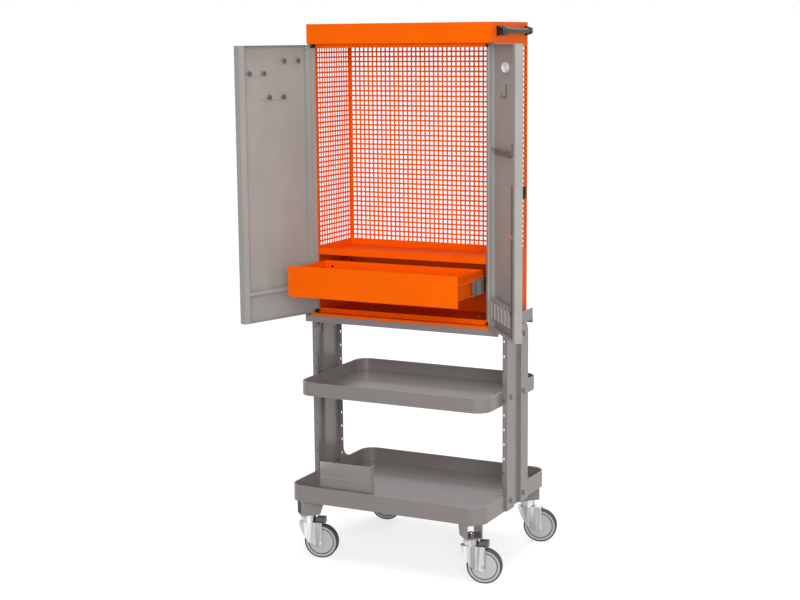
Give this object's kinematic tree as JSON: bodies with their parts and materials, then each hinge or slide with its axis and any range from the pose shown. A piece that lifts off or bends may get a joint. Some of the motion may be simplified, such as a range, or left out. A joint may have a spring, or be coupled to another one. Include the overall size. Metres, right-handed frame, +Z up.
{
  "type": "mobile tool cabinet",
  "caption": "Perforated steel tool cabinet with open doors and a pulled-out drawer, on a wheeled trolley of columns and trays with swivel casters.",
  "frame": {"origin": "on the floor, below the middle of the cabinet's width and shut depth", "axes": "+X to the right as one faces the doors, +Y to the back, +Z up"},
  "size_m": [0.8663, 0.6576, 1.61],
  "materials": {
    "orange_paint": "satin powder coat",
    "door_grey": "satin powder coat",
    "base_grey": "gloss powder coat",
    "zinc": "bright zinc plate",
    "black_plastic": "matt",
    "wheel_grey": "satin",
    "tyre_grey": "matt"
  },
  "bodies": {
    "cabinet": {"roof_cap": "orange_paint", "side_panel_left": "orange_paint", "side_panel_right": "orange_paint", "back_panel": "orange_paint", "cabinet_floor": "orange_paint", "shelf_tray": "orange_paint", "slide_brackets": "orange_paint", "slide_outer_rails": "zinc", "hinge_bushes": "black_plastic", "cabinet_rivets": "orange_paint", "handle_ends": "black_plastic", "handle_bar": "black_plastic", "top_frame": "base_grey", "column_left": "base_grey", "column_right": "base_grey", "column_heads": "base_grey", "mid_tray": "base_grey", "bottom_tray": "base_grey", "tray_brackets": "base_grey", "column_gussets": "base_grey", "tray_divider": "base_grey", "base_bolts": "zinc", "column_bolts": "base_grey", "caster_brackets": "base_grey", "caster_stems": "zinc"},
    "drawer": {"drawer_box": "orange_paint", "drawer_front": "orange_paint", "slide_inner_rails": "orange_paint"},
    "drawer_slide": {"slide_middle_rails": "zinc"},
    "left_door": {"door_left": "door_grey", "stiffener_left": "door_grey", "hinge_pins_left": "zinc", "hook_strips": "door_grey", "tool_rail": "door_grey"},
    "right_door": {"door_right": "door_grey", "stiffener_right": "door_grey", "hinge_pins_right": "zinc", "oval_pad": "door_grey", "single_hooks": "door_grey", "door_ledge": "door_grey", "tool_holder": "door_grey", "rod_guides": "zinc"},
    "lock": {"lock_handle": "black_plastic", "lock_cam": "zinc"},
    "upper_rod": {"rod_upper": "zinc"},
    "lower_rod": {"rod_lower": "zinc"},
    "caster_front_left": {"fork_front_left": "zinc"},
    "roller_front_left": {"wheel_front_left": "wheel_grey", "tyre_front_left": "tyre_grey"},
    "caster_front_right": {"fork_front_right": "zinc"},
    "roller_front_right": {"wheel_front_right": "wheel_grey", "tyre_front_right": "tyre_grey"},
    "caster_rear_left": {"fork_rear_left": "zinc"},
    "roller_rear_left": {"wheel_rear_left": "wheel_grey", "tyre_rear_left": "tyre_grey"},
    "caster_rear_right": {"fork_rear_right": "zinc"},
    "roller_rear_right": {"wheel_rear_right": "wheel_grey", "tyre_rear_right": "tyre_grey"},
    "brake_left": {"pedal_left": "black_plastic"},
    "brake_right": {"pedal_right": "black_plastic"}
  },
  "joints": [
    {"name": "left_door_hinge", "type": "hinge", "parent": "cabinet", "child": "left_door", "pos_m": [-0.291, -0.122, 1.1475], "axis": [0, 0, -1], "range_deg": [-17, 33]},
    {"name": "right_door_hinge", "type": "hinge", "parent": "cabinet", "child": "right_door", "pos_m": [0.291, -0.122, 1.1475], "axis": [0, 0, 1], "range_deg": [-39.3, 10.7]},
    {"name": "drawer_run", "type": "slide", "parent": "cabinet", "child": "drawer", "axis": [0, -1, 0], "range_m": [-0.2, 0]},
    {"name": "drawer_slide_run", "type": "slide", "parent": "cabinet", "child": "drawer_slide", "axis": [0, -1, 0], "range_m": [-0.1, 0]},
    {"name": "lock_turn", "type": "hinge", "parent": "right_door", "child": "lock", "pos_m": [0.4533, -0.3203, 1.1535], "axis": [-0.7738, -0.6334, 0], "range_deg": [0, 90]},
    {"name": "upper_rod_lift", "type": "slide", "parent": "right_door", "child": "upper_rod", "axis": [0, 0, 1], "range_m": [0, 0.02264]},
    {"name": "lower_rod_drop", "type": "slide", "parent": "right_door", "child": "lower_rod", "axis": [0, 0, -1], "range_m": [0, 0.02264]},
    {"name": "caster_turn_front_left", "type": "hinge", "parent": "cabinet", "child": "caster_front_left", "pos_m": [-0.272, -0.216, 0.12], "axis": [0, 0, 1], "continuous": true},
    {"name": "wheel_spin_front_left", "type": "hinge", "parent": "caster_front_left", "child": "roller_front_left", "pos_m": [-0.23319, -0.20632, 0.052], "axis": [-0.2419, 0.9703, 0], "continuous": true},
    {"name": "caster_turn_front_right", "type": "hinge", "parent": "cabinet", "child": "caster_front_right", "pos_m": [0.272, -0.216, 0.12], "axis": [0, 0, 1], "continuous": true},
    {"name": "wheel_spin_front_right", "type": "hinge", "parent": "caster_front_right", "child": "roller_front_right", "pos_m": [0.31081, -0.20632, 0.052], "axis": [-0.2419, 0.9703, 0], "continuous": true},
    {"name": "caster_turn_rear_left", "type": "hinge", "parent": "cabinet", "child": "caster_rear_left", "pos_m": [-0.272, 0.216, 0.12], "axis": [0, 0, 1], "continuous": true},
    {"name": "wheel_spin_rear_left", "type": "hinge", "parent": "caster_rear_left", "child": "roller_rear_left", "pos_m": [-0.23319, 0.22568, 0.052], "axis": [-0.2419, 0.9703, 0], "continuous": true},
    {"name": "caster_turn_rear_right", "type": "hinge", "parent": "cabinet", "child": "caster_rear_right", "pos_m": [0.272, 0.216, 0.12], "axis": [0, 0, 1], "continuous": true},
    {"name": "wheel_spin_rear_right", "type": "hinge", "parent": "caster_rear_right", "child": "roller_rear_right", "pos_m": [0.31081, 0.22568, 0.052], "axis": [-0.2419, 0.9703, 0], "continuous": true},
    {"name": "brake_press_left", "type": "hinge", "parent": "caster_front_left", "child": "brake_left", "pos_m": [-0.24289, -0.20874, 0.119], "axis": [-0.2419, 0.9703, 0], "range_deg": [0, 8]},
    {"name": "brake_press_right", "type": "hinge", "parent": "caster_front_right", "child": "brake_right", "pos_m": [0.30111, -0.20874, 0.119], "axis": [-0.2419, 0.9703, 0], "range_deg": [0, 8]}
  ],
  "couplings": [
    {"joint": "drawer_slide_run", "follows": "drawer_run", "ratio": 0.5},
    {"joint": "upper_rod_lift", "follows": "lock_turn", "m_per_rad": 0.014405},
    {"joint": "lower_rod_drop", "follows": "lock_turn", "m_per_rad": 0.014405}
  ]
}
